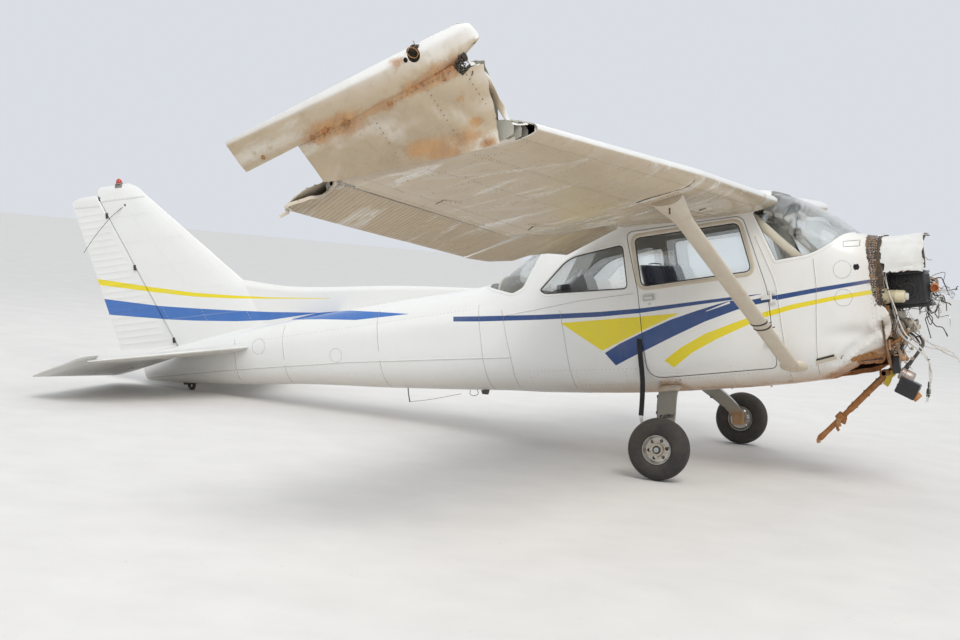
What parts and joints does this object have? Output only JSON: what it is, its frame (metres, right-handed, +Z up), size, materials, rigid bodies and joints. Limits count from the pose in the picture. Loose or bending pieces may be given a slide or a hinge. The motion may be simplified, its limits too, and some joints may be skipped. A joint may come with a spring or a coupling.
{
  "type": "light aircraft",
  "caption": "High-wing light aircraft wreck on two main wheels and its tail: hinged doors, turning wheels, rudder and elevator, bent right wing, broken-off left wing, no engine.",
  "frame": {"origin": "on the ground, under the middle of the bounding box", "axes": "+X towards the nose, +Y towards the left wing, +Z up"},
  "size_m": [7.9234, 7.381, 2.5788],
  "materials": {
    "white_paint": "glossy white paint over riveted sheet, with blue and yellow stripes, dust and small dents",
    "dirty_paint": "white paint with tan dust and rust stains",
    "grey_trim": "matt grey paint",
    "dark_metal": "oily dark metal",
    "clear_plastic": "clear, slightly hazy glazing",
    "bright_metal": "worn bare alloy",
    "spring_steel": "worn grey steel",
    "rusty_steel": "flaking rust",
    "black_plastic": "scuffed black plastic",
    "blue_fabric": "worn dark blue cloth",
    "tyre_rubber": "dusty black rubber",
    "red_plastic": "clear red lens",
    "cream_plastic": "yellowed cream plastic",
    "white_plastic": "white cable sheath",
    "black_webbing": "woven black webbing"
  },
  "bodies": {
    "root": {"cabin_shell": "white_paint", "cabin_roof": "white_paint", "cabin_floor": "grey_trim", "baggage_bulkhead": "grey_trim", "firewall": "dark_metal", "tailcone": "white_paint", "windshield": "clear_plastic", "rear_window": "clear_plastic", "side_window_right": "clear_plastic", "side_window_left": "clear_plastic", "instrument_panel": "black_plastic", "front_cushion_right": "blue_fabric", "front_cushion_left": "blue_fabric", "front_back_right": "blue_fabric", "front_back_left": "blue_fabric", "rear_seat_cushion": "blue_fabric", "rear_seat_back": "blue_fabric", "wing_right": "white_paint", "wing_tip_panel": "dirty_paint", "wing_tip_cap": "dirty_paint", "flap_right": "dirty_paint", "aileron_right": "dirty_paint", "strut_right": "dirty_paint", "wing_left_stub": "white_paint", "flap_left": "dirty_paint", "strut_foot_left": "dirty_paint", "stabilizer_right": "white_paint", "stabilizer_left": "white_paint", "fin": "white_paint", "beacon": "red_plastic", "tail_skid": "dark_metal", "gear_leg_right": "spring_steel", "gear_leg_left": "spring_steel", "axle_right": "spring_steel", "axle_left": "spring_steel", "cowl_remnant": "white_paint", "battery_box": "black_plastic", "fluid_reservoir": "cream_plastic", "fuel_pump": "dark_metal", "carburettor_box": "dark_metal", "nose_leg": "rusty_steel", "twin_lead": "white_plastic", "lead_connector": "black_plastic", "single_lead": "white_plastic", "belt_strap": "black_webbing"},
    "wheel_right": {"tyre_right": "tyre_rubber", "hub_right": "bright_metal"},
    "wheel_left": {"tyre_left": "tyre_rubber", "hub_left": "bright_metal"},
    "door_right": {"door_right": "white_paint", "door_glass_right": "clear_plastic", "door_handle_right": "bright_metal"},
    "door_left": {"door_left": "white_paint", "door_glass_left": "clear_plastic", "door_handle_left": "bright_metal"},
    "baggage_door": {"baggage_door": "white_paint"},
    "elevator": {"elevator": "white_paint"},
    "rudder": {"rudder": "white_paint"}
  },
  "joints": [
    {"name": "wheel_right_spin", "type": "hinge", "parent": "root", "child": "wheel_right", "pos_m": [2.19801, 0.54554, 0.2175], "axis": [0, 1, 0], "continuous": true},
    {"name": "wheel_left_spin", "type": "hinge", "parent": "root", "child": "wheel_left", "pos_m": [2.19801, 3.07554, 0.2175], "axis": [0, 1, 0], "continuous": true},
    {"name": "door_right_hinge", "type": "hinge", "parent": "root", "child": "door_right", "pos_m": [2.75929, 1.24854, 1.16336], "axis": [-0.1927, 0, 0.9813], "range_deg": [0, 70]},
    {"name": "door_left_hinge", "type": "hinge", "parent": "root", "child": "door_left", "pos_m": [2.75929, 2.37254, 1.16336], "axis": [0.1927, 0, -0.9813], "range_deg": [0, 70]},
    {"name": "baggage_door_hinge", "type": "hinge", "parent": "root", "child": "baggage_door", "pos_m": [1.14807, 2.33254, 0.8521], "axis": [0.1927, 0, -0.9813], "range_deg": [0, 95]},
    {"name": "elevator_hinge", "type": "hinge", "parent": "root", "child": "elevator", "pos_m": [-2.53007, 1.81054, 0.30826], "axis": [0, 1, 0], "range_deg": [0, 41]},
    {"name": "rudder_hinge", "type": "hinge", "parent": "root", "child": "rudder", "pos_m": [-2.59715, 1.81054, 0.35929], "axis": [-0.6151, 0, 0.7885], "range_deg": [-16, 16]}
  ]
}
